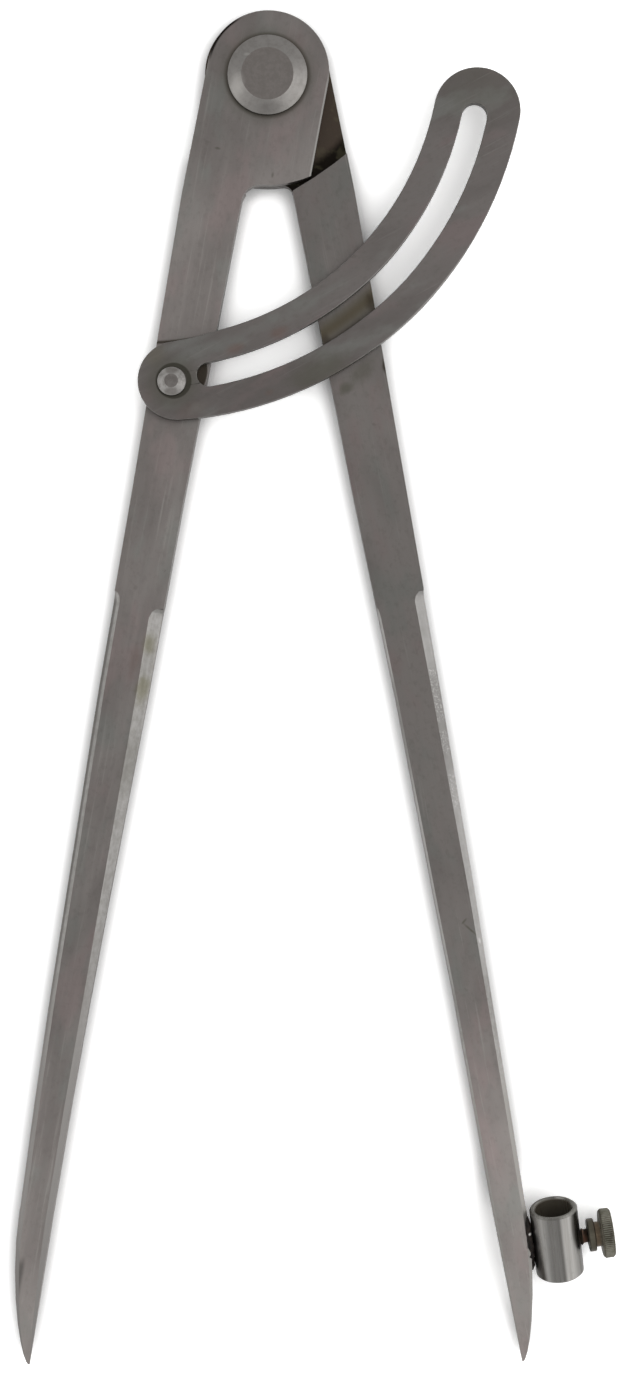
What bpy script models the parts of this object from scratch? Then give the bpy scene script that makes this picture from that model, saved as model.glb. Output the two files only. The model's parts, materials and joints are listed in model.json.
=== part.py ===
# A steel wing divider with a pencil socket, open at about 22 degrees.
#
# It lies on its back. +Z points out of its front, +Y runs up the legs to the hinge
# head, and the origin is the centre of the pivot rivet's peened end, on the back.
# Lengths are in metres. In the plan of a leg, "out" is the distance from the line
# that joins pivot and point, towards the leg's outer edge, and "down" is the
# distance from the pivot along that line.

import math

import bmesh
import bpy
from mathutils import Matrix, Vector

# Fits
SEAT_GAP = 0.0003            # between faces that touch
RUNNING_CLEARANCE = 0.0001   # round a shaft in its hole
BRAZE_CLEARANCE = 0.0001     # round the braze
CUT_OVERRUN = 0.002          # how far a cutter passes the face that it opens
MERGE_DISTANCE = 0.000001

# Legs
LEG_REACH = 0.2864           # pivot to point
LEG_WIDTH = 0.0136
LEG_THICKNESS = 0.0055
STATION_SHARES = (0.10, 0.33, 0.485, 0.64, 0.72, 0.80, 0.88)   # of LEG_REACH

# Head: a half-lap joint, each leg's lap reaching across the other leg
LAP_REACH = 0.0239           # pivot to the lap's end arc
SHOULDER_CLEARANCE = 0.0004  # lap's end arc to the other leg's shoulder
SHOULDER_HEEL = 0.0020       # more of it at the inner edge
SHOULDER_MIDDLE_SHARE = 0.52 # of LEG_WIDTH, where the shoulder's middle point lies

# Facets ground along the legs' lower edges, on the front and the back
FACET_START = 0.1165
FACET_INNER_DELAY = 0.0020   # inner facets start this much lower
FACET_RUNOUT = 0.0025        # length of a facet's rounded upper end
FACET_SETBACK = 0.0002       # how far the outer edge steps in there
FACET_SLOPE = 0.55           # depth over width
RUNOUT_SHARES = (0.0, 0.12, 0.45, 1.0)

# Points
TIP_LENGTH = 0.0330
TIP_THICKNESS = 0.0010
TIP_NOSE = 0.0004
TIP_SWELL = 1.6              # exponents of the outer edge's curve
TIP_CLOSE = 0.75
TIP_SHARES = (0.0, 0.2, 0.4, 0.58, 0.74, 0.86, 0.94, 0.985, 1.0)

# What differs between the legs. The head offset is its circle's centre beyond the
# pivot. Facets: widths at the top, half-way and at the point. Shares are of
# LEG_WIDTH, at the stations.
LEFT_LEG = {
    "side": -1,
    "swing": math.radians(-10.48),
    "head_radius": 0.0133,
    "head_offset": 0.0009,
    "throat_fillet": 0.0042,
    "inner_facet": (0.0029, 0.0015, 0.0012),
    "outer_facet": (0.0013, 0.0012, 0.0011),
    "inner_shares": (0.045, 0.084, 0.074, 0.098, 0.102, 0.092, 0.065),
    "outer_shares": (1.006, 0.924, 0.887, 0.802, 0.758, 0.696, 0.615),
}
RIGHT_LEG = {
    "side": 1,
    "swing": math.radians(11.22),
    "head_radius": 0.01355,
    "head_offset": 0.0009,
    "throat_fillet": 0.0020,
    "inner_facet": (0.0005, 0.0005, 0.0004),
    "outer_facet": (0.0022, 0.0011, 0.0008),
    "inner_shares": (0.036, 0.038, 0.070, 0.052, 0.051, 0.026, 0.004),
    "outer_shares": (1.010, 0.893, 0.820, 0.732, 0.669, 0.614, 0.551),
}

# Pivot rivet and its washer
RIVET_HEAD_RADIUS = 0.0087
RIVET_FLAT_RADIUS = 0.0057
RIVET_HEAD_HEIGHT = 0.0020
RIVET_RIM = 0.0005           # straight part of the head's edge
RIVET_SHANK_RADIUS = 0.0040
RIVET_PEEN_RADIUS = 0.0048
RIVET_PEEN_DEPTH = 0.0008
WASHER_HEIGHT = 0.0020

# Wing
WING_RADIUS = 0.0737         # of its centre line, and from there to its rivet
WING_SHARES = (0.0, 0.12, 0.55, 1.0)              # of its length, from the heel
WING_BAND = (0.0171, 0.0181, 0.0188, 0.0188)      # widths there
WING_SHIFT = (-0.0001, -0.0003, 0.0002, 0.0001)   # how far outside the centre line
WING_THICKNESS = 0.0025
WING_HEEL = math.radians(0.9)     # angles along the arc, from the rivet
WING_SWEEP = math.radians(73.9)
SLOT_WIDTH = (0.0052, 0.0053, 0.0055, 0.0055)
SLOT_SHIFT = (-0.0004, -0.0003, 0.0001, -0.0002)
SLOT_START = math.radians(6.4)
SLOT_END = math.radians(72.9)
WING_TURN = math.radians(15.15)   # from the left leg

# Wing rivet
WING_RIVET_DOWN = 0.0697
WING_RIVET_OUT = 0.0082
WING_RIVET_RADIUS = 0.0020
WING_RIVET_HEAD_RADIUS = 0.0031
WING_RIVET_FLAT_RADIUS = 0.0015
WING_RIVET_HEAD_HEIGHT = 0.0016
WING_RIVET_RIM = 0.0004
WING_RIVET_PEEN_RADIUS = 0.0028
WING_RIVET_PEEN_DEPTH = 0.0008

# Pencil socket, a tube brazed to the right leg's outer edge
SOCKET_RISE = 0.0246         # the point to the tube's middle
SOCKET_DOWN = LEG_REACH - SOCKET_RISE
SOCKET_LENGTH = 0.0160
SOCKET_RADIUS = 0.00525
SOCKET_BORE_RADIUS = 0.0040
SOCKET_RIM = 0.0004          # chamfers at the tube's ends
SOCKET_STANDOFF = 0.0005     # leg's edge to tube
SOCKET_LEAN = math.radians(-3.6)  # in the leg's plane
SOCKET_TILT = math.radians(18)    # out of it, mouth forwards
SOCKET_SHARES = (-1.0, -0.6, -0.2, 0.2, 0.6, 1.0)   # of half its length, places along it
BRAZE_LENGTH = 0.0122
BRAZE_WIDTH = 0.0034
BRAZE_HEIGHT = 0.0050

# Thumbscrew: places are distances from the socket's axis
SCREW_RADIUS = 0.0019
SCREW_TIP = 0.0032
SCREW_TIP_CHAMFER = 0.0006
SCREW_RELIEF_START = 0.0059
SCREW_RELIEF_RADIUS = 0.0015
SCREW_SPIGOT = 0.0040        # length held in the knob
COLLAR_START = 0.0069
COLLAR_WIDTH = 0.0015
COLLAR_RADIUS = 0.0036
COLLAR_EDGE = 0.0002
NECK_RADIUS = 0.0027
KNOB_START = 0.0097
KNOB_WIDTH = 0.0026
KNOB_RADIUS = 0.00535
KNOB_EDGE = 0.00045
KNURL_RIBS = 70
KNURL_DEPTH = 0.0002

# Facets of round pieces
ROUND_SIDES = 64
SHANK_SIDES = 48
SMALL_SIDES = 32
BEAD_SIDES = 24
BEAD_RINGS = 16
ARC_STEP = math.radians(4)   # angle between points of an outline's arc
WING_STEP = math.radians(2.5)
SHARP_ANGLE = math.radians(20)

# Levels, worked out from the stack
LEG_BACK = WASHER_HEIGHT + SEAT_GAP
LEG_FRONT = LEG_BACK + LEG_THICKNESS
LEG_MIDDLE = (LEG_BACK + LEG_FRONT) / 2
WING_BACK = LEG_FRONT + SEAT_GAP
WING_FRONT = WING_BACK + WING_THICKNESS


# General helpers

def clear_scene():
    for item in list(bpy.data.objects):
        bpy.data.objects.remove(item, do_unlink=True)


def make_material(name, colour, roughness, metallic):
    material = bpy.data.materials.new(name)
    material.use_nodes = True
    shader = material.node_tree.nodes["Principled BSDF"]
    shader.inputs["Base Color"].default_value = (*colour, 1.0)
    shader.inputs["Roughness"].default_value = roughness
    shader.inputs["Metallic"].default_value = metallic
    material.diffuse_color = (*colour, 1.0)
    return material


def make_object(name, shape, material=None, parent=None):
    bmesh.ops.recalc_face_normals(shape, faces=shape.faces)
    mesh = bpy.data.meshes.new(name)
    shape.to_mesh(mesh)
    shape.free()
    mesh.shade_smooth()
    mesh.set_sharp_from_angle(angle=SHARP_ANGLE)
    item = bpy.data.objects.new(name, mesh)
    bpy.context.collection.objects.link(item)
    item.parent = parent
    if material:
        mesh.materials.append(material)
    return item


def make_empty(name, location, turn=0.0, parent=None):
    empty = bpy.data.objects.new(name, None)
    bpy.context.collection.objects.link(empty)
    empty.empty_display_size = LEG_WIDTH
    empty.parent = parent
    empty.location = location
    empty.rotation_euler = (0.0, 0.0, turn)
    return empty


def cut(item, cutter):
    cutter.hide_render = True
    cutter.display_type = "WIRE"
    modifier = item.modifiers.new(cutter.name, "BOOLEAN")
    modifier.operation = "DIFFERENCE"
    modifier.solver = "EXACT"
    modifier.object = cutter


def arc_points(centre, radius, start, end, step=ARC_STEP):
    count = max(2, math.ceil(abs(end - start) / step))
    angles = [start + (end - start) * i / count for i in range(count + 1)]
    return [
        (centre[0] + radius * math.cos(a), centre[1] + radius * math.sin(a))
        for a in angles
    ]


def circle_points(radius, sides):
    turn = 2 * math.pi / sides
    return [(radius * math.cos(turn * i), radius * math.sin(turn * i)) for i in range(sides)]


def circle_through(first, second, third):
    # Centre and radius of the circle through three points of the plan.
    a, b, c = Vector(first), Vector(second), Vector(third)
    ab, ac = b - a, c - a
    twice_area = 2 * ab.cross(ac)
    centre = a + Vector((
        (ac.y * ab.length_squared - ab.y * ac.length_squared) / twice_area,
        (ab.x * ac.length_squared - ac.x * ab.length_squared) / twice_area,
    ))
    return centre, (a - centre).length


def plate(loops, bottom, top):
    # A flat plate. The first loop is its outline, and the others are holes.
    shape = bmesh.new()
    for loop in loops:
        corners = [shape.verts.new((x, y, bottom)) for x, y in loop]
        for i, corner in enumerate(corners):
            shape.edges.new((corner, corners[(i + 1) % len(corners)]))
    bmesh.ops.triangle_fill(shape, edges=shape.edges, use_beauty=True)
    grown = bmesh.ops.extrude_face_region(shape, geom=list(shape.faces))
    raised = [part for part in grown["geom"] if isinstance(part, bmesh.types.BMVert)]
    bmesh.ops.translate(shape, verts=raised, vec=(0.0, 0.0, top - bottom))
    return shape


def turned(profile, sides, closed=False):
    # A turned piece round Z. The profile is a list of (radius, height), and an
    # open one starts and ends on the axis.
    shape = bmesh.new()
    corners = [shape.verts.new((radius, 0.0, height)) for radius, height in profile]
    for first, second in zip(corners, corners[1:]):
        shape.edges.new((first, second))
    if closed:
        shape.edges.new((corners[-1], corners[0]))
    bmesh.ops.spin(
        shape,
        geom=list(shape.verts) + list(shape.edges),
        cent=(0.0, 0.0, 0.0),
        axis=(0.0, 0.0, 1.0),
        angle=2 * math.pi,
        steps=sides,
    )
    bmesh.ops.remove_doubles(shape, verts=shape.verts, dist=MERGE_DISTANCE)
    return shape


# Legs

def table_value(part, stations, values):
    # A value at a part of the length, straight between the stations.
    if part <= stations[0]:
        return values[0]
    for i in range(1, len(stations)):
        if part <= stations[i]:
            step = (part - stations[i - 1]) / (stations[i] - stations[i - 1])
            return values[i - 1] + (values[i] - values[i - 1]) * step
    return values[-1]


def leg_share(down, shares):
    return table_value(down / LEG_REACH, STATION_SHARES, shares)


def tip_part(down):
    start = LEG_REACH - TIP_LENGTH
    return min(1.0, max(0.0, (down - start) / TIP_LENGTH))


def tip_closing(down):
    # 1 above the point's curve, 0 at the point.
    return (1 - tip_part(down) ** TIP_SWELL) ** TIP_CLOSE


def runout(down, start):
    # 0 above a facet, 1 below its rounded upper end.
    part = min(1.0, max(0.0, (down - start) / FACET_RUNOUT))
    return math.sqrt(1 - (1 - part) ** 2)


def inner_edge(leg, down):
    return LEG_WIDTH * leg_share(down, leg["inner_shares"]) * (1 - tip_part(down))


def outer_edge(leg, down):
    width = LEG_WIDTH * leg_share(down, leg["outer_shares"])
    width -= FACET_SETBACK * runout(down, FACET_START)
    return TIP_NOSE + (width - TIP_NOSE) * tip_closing(down)


def facet_width(widths, start, down):
    top, middle, bottom = widths
    part = 2 * (down - start) / (LEG_REACH - start)
    if part < 1:
        width = top + (middle - top) * part
    else:
        width = middle + (bottom - middle) * (part - 1)
    return width * runout(down, start) * tip_closing(down)


def thickness(down):
    return LEG_THICKNESS - (LEG_THICKNESS - TIP_THICKNESS) * tip_part(down) ** TIP_SWELL


def section_places():
    inner_start = FACET_START + FACET_INNER_DELAY
    places = [share * LEG_REACH for share in STATION_SHARES]
    places += [FACET_START + share * FACET_RUNOUT for share in RUNOUT_SHARES]
    places += [inner_start + share * FACET_RUNOUT for share in RUNOUT_SHARES]
    places += [LEG_REACH - TIP_LENGTH * (1 - share) for share in TIP_SHARES]
    return sorted(places)


def leg_section(leg, down):
    # The bar's eight corners at one place, clockwise from the front inner one.
    inner, outer = inner_edge(leg, down), outer_edge(leg, down)
    inner_facet = facet_width(leg["inner_facet"], FACET_START + FACET_INNER_DELAY, down)
    outer_facet = facet_width(leg["outer_facet"], FACET_START, down)
    half = thickness(down) / 2
    inner_side = half - inner_facet * FACET_SLOPE
    outer_side = half - outer_facet * FACET_SLOPE
    return [
        (inner + inner_facet, half),
        (outer - outer_facet, half),
        (outer, outer_side),
        (outer, -outer_side),
        (outer - outer_facet, -half),
        (inner + inner_facet, -half),
        (inner, -inner_side),
        (inner, inner_side),
    ]


def head_outline(leg, base):
    # From the inner edge, up the throat's fillet and round the lap and the head, to
    # the outer edge. Points are (out, down), and base is where the bar starts.
    inner = inner_edge(leg, base)
    fillet = leg["throat_fillet"]
    head_radius = leg["head_radius"]
    fillet_out = inner - fillet
    fillet_down = math.sqrt((LAP_REACH + fillet) ** 2 - fillet_out ** 2)
    facing_pivot = math.atan2(-fillet_down, -fillet_out)
    lap_corner = math.sqrt(LAP_REACH ** 2 - head_radius ** 2)
    throat = arc_points((fillet_out, fillet_down), fillet, 0.0, facing_pivot)
    lap_end = arc_points(
        (0.0, 0.0),
        LAP_REACH,
        math.atan2(fillet_down, fillet_out),
        math.atan2(lap_corner, -head_radius),
    )
    crown = arc_points((0.0, -leg["head_offset"]), head_radius, math.pi, 2 * math.pi)
    return throat + lap_end[1:] + crown


def leg_blank(leg, base_object, name, material):
    # The head is a flat outline, and the bar below it is lofted through sections.
    side = leg["side"]
    places = section_places()
    base = places[0]
    shape = bmesh.new()

    def corner(out, down, height):
        return shape.verts.new((side * out, -down, LEG_MIDDLE + height))

    rings = []
    for down in places:
        rings.append([corner(out, down, height) for out, height in leg_section(leg, down)])
    for upper, lower in zip(rings, rings[1:]):
        for i in range(len(upper)):
            j = (i + 1) % len(upper)
            shape.faces.new((upper[i], upper[j], lower[j], lower[i]))
    shape.faces.new(rings[-1])

    half = LEG_THICKNESS / 2
    outline = [(inner_edge(leg, base), base)]
    outline += head_outline(leg, base)
    outline += [(outer_edge(leg, base), base)]
    front = [corner(out, down, half) for out, down in outline]
    back = [corner(out, down, -half) for out, down in outline]
    shape.faces.new(front)
    shape.faces.new(back)
    for i in range(len(outline) - 1):
        shape.faces.new((front[i], front[i + 1], back[i + 1], back[i]))
    bmesh.ops.remove_doubles(shape, verts=shape.verts, dist=MERGE_DISTANCE)
    return make_object(name, shape, material, base_object)


def lap_cutter(leg, base_object, name):
    # Removes one half of the thickness above the shoulder, a shallow curve that
    # clears the end arc of the other leg's lap.
    side = leg["side"]
    clear = LAP_REACH + SHOULDER_CLEARANCE
    outer = outer_edge(leg, LAP_REACH)
    middle = SHOULDER_MIDDLE_SHARE * LEG_WIDTH
    centre, radius = circle_through(
        (outer, math.sqrt(clear ** 2 - outer ** 2)),
        (middle, math.sqrt(clear ** 2 - middle ** 2)),
        (0.0, LAP_REACH + SHOULDER_HEEL),
    )
    reach = leg["head_radius"] + CUT_OVERRUN
    start = math.acos((reach - centre.x) / radius)
    end = math.acos((-reach - centre.x) / radius)
    curve = arc_points(centre, radius, start, end)
    top = -reach - leg["head_offset"]
    outline = curve + [(-reach, top), (reach, top)]
    half_gap = SEAT_GAP / 2
    if side < 0:
        levels = (LEG_BACK - CUT_OVERRUN, LEG_MIDDLE + half_gap)
    else:
        levels = (LEG_MIDDLE - half_gap, LEG_FRONT + CUT_OVERRUN)
    shape = plate([[(side * out, -down) for out, down in outline]], *levels)
    return make_object(name, shape, parent=base_object)


def bore_cutter(radius, sides, base_object, name, location):
    bottom, top = LEG_BACK - CUT_OVERRUN, LEG_FRONT + CUT_OVERRUN
    shape = plate([circle_points(radius, sides)], bottom, top)
    cutter = make_object(name, shape, parent=base_object)
    cutter.location = location
    return cutter


def build_leg(leg, name, material, base_object):
    item = leg_blank(leg, base_object, name, material)
    cut(item, lap_cutter(leg, base_object, name + "_lap_cutter"))
    radius = RIVET_SHANK_RADIUS + RUNNING_CLEARANCE
    place = (0.0, 0.0, 0.0)
    cut(item, bore_cutter(radius, SHANK_SIDES, base_object, name + "_bore_cutter", place))
    return item


# Rivets

def head_profile(base, height, radius, flat_radius, rim):
    # A chamfered head's outline, from its edge at the base to its flat centre.
    return [
        (radius, base),
        (radius, base + rim),
        (flat_radius, base + height),
        (0.0, base + height),
    ]


def peened_profile(bottom, depth, peen_radius, radius, head_base):
    # A shank that swells into its countersink at the bottom.
    return [
        (0.0, bottom),
        (peen_radius, bottom),
        (radius, bottom + depth),
        (radius, head_base),
    ]


def build_pivot_rivet(material):
    head_base = LEG_FRONT + SEAT_GAP
    profile = peened_profile(
        0.0, RIVET_PEEN_DEPTH, RIVET_PEEN_RADIUS, RIVET_SHANK_RADIUS, head_base
    )
    profile += head_profile(
        head_base, RIVET_HEAD_HEIGHT - SEAT_GAP, RIVET_HEAD_RADIUS, RIVET_FLAT_RADIUS, RIVET_RIM
    )
    return make_object("pivot_rivet", turned(profile, ROUND_SIDES), material)


def build_pivot_washer(material):
    hole = RIVET_SHANK_RADIUS + RUNNING_CLEARANCE
    sink = RIVET_PEEN_RADIUS + RUNNING_CLEARANCE
    profile = [
        (sink, 0.0),
        (RIVET_FLAT_RADIUS, 0.0),
        (RIVET_HEAD_RADIUS, WASHER_HEIGHT - RIVET_RIM),
        (RIVET_HEAD_RADIUS, WASHER_HEIGHT),
        (hole, WASHER_HEIGHT),
        (hole, RIVET_PEEN_DEPTH),
    ]
    return make_object("pivot_washer", turned(profile, ROUND_SIDES, closed=True), material)


def build_wing_rivet(material, base_object):
    head_base = WING_FRONT + SEAT_GAP
    profile = peened_profile(
        LEG_BACK, WING_RIVET_PEEN_DEPTH, WING_RIVET_PEEN_RADIUS, WING_RIVET_RADIUS, head_base
    )
    profile += head_profile(
        head_base,
        WING_RIVET_HEAD_HEIGHT,
        WING_RIVET_HEAD_RADIUS,
        WING_RIVET_FLAT_RADIUS,
        WING_RIVET_RIM,
    )
    shape = turned(profile, SMALL_SIDES)
    return make_object("wing_rivet", shape, material, base_object)


def wing_rivet_cutter(base_object):
    hole = WING_RIVET_RADIUS + RUNNING_CLEARANCE
    sink = WING_RIVET_PEEN_RADIUS + RUNNING_CLEARANCE
    flare = (sink - hole) / WING_RIVET_PEEN_DEPTH
    profile = [
        (0.0, LEG_BACK - CUT_OVERRUN),
        (sink + flare * CUT_OVERRUN, LEG_BACK - CUT_OVERRUN),
        (hole, LEG_BACK + WING_RIVET_PEEN_DEPTH),
        (hole, LEG_FRONT + CUT_OVERRUN),
        (0.0, LEG_FRONT + CUT_OVERRUN),
    ]
    return make_object("wing_rivet_cutter", turned(profile, SMALL_SIDES), parent=base_object)


# Wing

def wing_band(widths, shifts, start, end):
    # A band along the wing's centre line with round ends, its width and its place
    # across changing from start to end. The rivet is at the origin, and the arc's
    # centre is above it on +Y.
    def place(angle, side):
        part = (angle - start) / (end - start)
        half = table_value(part, WING_SHARES, widths) / 2
        radius = WING_RADIUS + table_value(part, WING_SHARES, shifts) + side * half
        return (radius * math.sin(angle), WING_RADIUS - radius * math.cos(angle))

    count = math.ceil((end - start) / WING_STEP)
    angles = [start + (end - start) * i / count for i in range(count + 1)]
    quarter = math.pi / 2
    points = [place(angle, 1) for angle in angles]
    points += arc_points(place(end, 0), widths[-1] / 2, end - quarter, end + quarter)[1:-1]
    points += [place(angle, -1) for angle in reversed(angles)]
    points += arc_points(place(start, 0), widths[0] / 2, start + quarter, start + 3 * quarter)[1:-1]
    return points


def build_wing(material, base_object):
    loops = [
        wing_band(WING_BAND, WING_SHIFT, WING_HEEL, WING_SWEEP),
        wing_band(SLOT_WIDTH, SLOT_SHIFT, SLOT_START, SLOT_END),
        circle_points(WING_RIVET_RADIUS + RUNNING_CLEARANCE, SMALL_SIDES),
    ]
    return make_object("wing", plate(loops, WING_BACK, WING_FRONT), material, base_object)


# Pencil socket and thumbscrew. Turned pieces of the thumbscrew lie along the
# socket's own +X, which points away from the leg.

ACROSS = Matrix.Rotation(math.radians(90), 4, "Y")


def build_socket(material, base_object):
    half = SOCKET_LENGTH / 2
    profile = [
        (SOCKET_BORE_RADIUS, -half + SOCKET_RIM),
        (SOCKET_BORE_RADIUS + SOCKET_RIM, -half),
        (SOCKET_RADIUS - SOCKET_RIM, -half),
        (SOCKET_RADIUS, -half + SOCKET_RIM),
        (SOCKET_RADIUS, half - SOCKET_RIM),
        (SOCKET_RADIUS - SOCKET_RIM, half),
        (SOCKET_BORE_RADIUS + SOCKET_RIM, half),
        (SOCKET_BORE_RADIUS, half - SOCKET_RIM),
    ]
    shape = turned(profile, SHANK_SIDES, closed=True)
    return make_object("pencil_socket", shape, material, base_object)


def screw_hole_cutter(base_object):
    hole = SCREW_RADIUS + RUNNING_CLEARANCE
    profile = [
        (0.0, 0.0),
        (hole, 0.0),
        (hole, SOCKET_RADIUS + CUT_OVERRUN),
        (0.0, SOCKET_RADIUS + CUT_OVERRUN),
    ]
    shape = turned(profile, SMALL_SIDES)
    bmesh.ops.transform(shape, matrix=ACROSS, verts=shape.verts)
    return make_object("screw_hole_cutter", shape, parent=base_object)


def build_screw(material, base_object):
    spigot_end = COLLAR_START + SCREW_SPIGOT
    profile = [
        (0.0, SCREW_TIP),
        (SCREW_RADIUS - SCREW_TIP_CHAMFER, SCREW_TIP),
        (SCREW_RADIUS, SCREW_TIP + SCREW_TIP_CHAMFER),
        (SCREW_RADIUS, SCREW_RELIEF_START),
        (SCREW_RELIEF_RADIUS, SCREW_RELIEF_START + SCREW_RADIUS - SCREW_RELIEF_RADIUS),
        (SCREW_RELIEF_RADIUS, spigot_end),
        (0.0, spigot_end),
    ]
    shape = turned(profile, SMALL_SIDES)
    bmesh.ops.transform(shape, matrix=ACROSS, verts=shape.verts)
    return make_object("socket_screw", shape, material, base_object)


def build_knob(material, base_object):
    hole = SCREW_RELIEF_RADIUS + RUNNING_CLEARANCE
    hole_end = COLLAR_START + SCREW_SPIGOT + SEAT_GAP
    collar_end = COLLAR_START + COLLAR_WIDTH
    knob_end = KNOB_START + KNOB_WIDTH
    rim = KNOB_RADIUS - KNOB_EDGE
    # (radius, place, whether the knurl cuts into it)
    profile = [
        (0.0, hole_end, False),
        (hole, hole_end, False),
        (hole, COLLAR_START, False),
        (COLLAR_RADIUS - COLLAR_EDGE, COLLAR_START, False),
        (COLLAR_RADIUS, COLLAR_START + COLLAR_EDGE, False),
        (COLLAR_RADIUS, collar_end - COLLAR_EDGE, False),
        (COLLAR_RADIUS - COLLAR_EDGE, collar_end, False),
        (NECK_RADIUS, collar_end, False),
        (NECK_RADIUS, KNOB_START, False),
        (rim, KNOB_START, False),
        (KNOB_RADIUS, KNOB_START + KNOB_EDGE, True),
        (KNOB_RADIUS, knob_end - KNOB_EDGE, True),
        (rim, knob_end, False),
        (0.0, knob_end, False),
    ]
    sides = 2 * KNURL_RIBS
    shape = bmesh.new()
    rings = []
    for radius, place, knurled in profile:
        ring = []
        for i, (x, y) in enumerate(circle_points(1.0, sides)):
            depth = KNURL_DEPTH if knurled and i % 2 else 0.0
            ring.append(shape.verts.new((x * (radius - depth), y * (radius - depth), place)))
        rings.append(ring)
    for first, second in zip(rings, rings[1:]):
        for i in range(sides):
            j = (i + 1) % sides
            shape.faces.new((first[i], first[j], second[j], second[i]))
    bmesh.ops.remove_doubles(shape, verts=shape.verts, dist=MERGE_DISTANCE)
    bmesh.ops.transform(shape, matrix=ACROSS, verts=shape.verts)
    return make_object("socket_screw_knob", shape, material, base_object)


def socket_out():
    # The tube's side stands off the leg's edge where the edge comes closest.
    places = [SOCKET_DOWN + SOCKET_LENGTH / 2 * share for share in SOCKET_SHARES]
    edges = [
        outer_edge(RIGHT_LEG, down) + (down - SOCKET_DOWN) * math.tan(-SOCKET_LEAN)
        for down in places
    ]
    return max(edges) + SOCKET_STANDOFF + SOCKET_RADIUS


def build_braze(material, leg_base, socket_base):
    # An oval bead between leg and tube, cut back from both.
    shape = bmesh.new()
    bmesh.ops.create_uvsphere(
        shape, u_segments=BEAD_SIDES, v_segments=BEAD_RINGS, radius=BRAZE_LENGTH / 2
    )
    squeeze = (BRAZE_WIDTH / BRAZE_LENGTH, BRAZE_HEIGHT / BRAZE_LENGTH, 1.0, 1.0)
    size = Matrix.Diagonal(squeeze)
    bmesh.ops.transform(shape, matrix=size, verts=shape.verts)
    bead = make_object("socket_braze", shape, material, socket_base)
    bead.location = (-SOCKET_RADIUS - SOCKET_STANDOFF / 2, 0.0, 0.0)

    half = SOCKET_LENGTH / 2
    cutter_radius = SOCKET_RADIUS + BRAZE_CLEARANCE
    tube_cutter = make_object(
        "braze_tube_cutter",
        plate([circle_points(cutter_radius, SHANK_SIDES)], -half, half),
        parent=socket_base,
    )
    cut(bead, tube_cutter)

    side = RIGHT_LEG["side"]
    downs = [SOCKET_DOWN + half * share for share in SOCKET_SHARES]
    edge = [(side * (outer_edge(RIGHT_LEG, down) + BRAZE_CLEARANCE), -down) for down in downs]
    outline = edge + [(0.0, -downs[-1]), (0.0, -downs[0])]
    leg_cutter = make_object(
        "braze_leg_cutter",
        plate([outline], LEG_BACK - CUT_OVERRUN, LEG_FRONT + CUT_OVERRUN),
        parent=leg_base,
    )
    cut(bead, leg_cutter)
    return bead


def build():
    clear_scene()
    upper_steel = make_material("leg_steel", (0.18, 0.165, 0.155), 0.42, 1.0)
    wing_steel = make_material("wing_steel", (0.15, 0.14, 0.13), 0.40, 1.0)
    bright_steel = make_material("turned_steel", (0.25, 0.235, 0.225), 0.30, 1.0)
    tube_steel = make_material("tube_steel", (0.27, 0.26, 0.25), 0.28, 1.0)
    screw_steel = make_material("oiled_steel", (0.10, 0.095, 0.075), 0.45, 1.0)
    braze = make_material("braze", (0.03, 0.024, 0.02), 0.60, 0.6)

    left_base = make_empty("left_leg_axis", (0.0, 0.0, 0.0), LEFT_LEG["swing"])
    right_base = make_empty("right_leg_axis", (0.0, 0.0, 0.0), RIGHT_LEG["swing"])
    left = build_leg(LEFT_LEG, "left_leg", upper_steel, left_base)
    build_leg(RIGHT_LEG, "right_leg", upper_steel, right_base)
    build_pivot_rivet(bright_steel)
    build_pivot_washer(bright_steel)

    rivet_place = (LEFT_LEG["side"] * WING_RIVET_OUT, -WING_RIVET_DOWN, 0.0)
    wing_base = make_empty("wing_axis", rivet_place, WING_TURN, left_base)
    build_wing(wing_steel, wing_base)
    build_wing_rivet(bright_steel, wing_base)
    cut(left, wing_rivet_cutter(wing_base))

    out = socket_out()
    socket_place = (RIGHT_LEG["side"] * out, -SOCKET_DOWN, LEG_MIDDLE)
    socket_base = make_empty("socket_axis", socket_place, 0.0, right_base)
    # The tube's own +Z turns to lie along the leg, its mouth forwards, and its own
    # +X stays across the leg.
    turn = Matrix.Rotation(SOCKET_LEAN, 4, "Z") @ Matrix.Rotation(
        SOCKET_TILT - math.radians(90), 4, "X"
    )
    socket_base.rotation_euler = turn.to_euler()
    socket = build_socket(tube_steel, socket_base)
    cut(socket, screw_hole_cutter(socket_base))
    build_braze(braze, right_base, socket_base)
    build_screw(screw_steel, socket_base)
    build_knob(screw_steel, socket_base)


build()
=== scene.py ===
# Looks for the steel wing divider: finishes, the turned thumbscrew, the braze,
# the floor, the light and the camera. Lengths are in metres unless a note says mm.

import math

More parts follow.
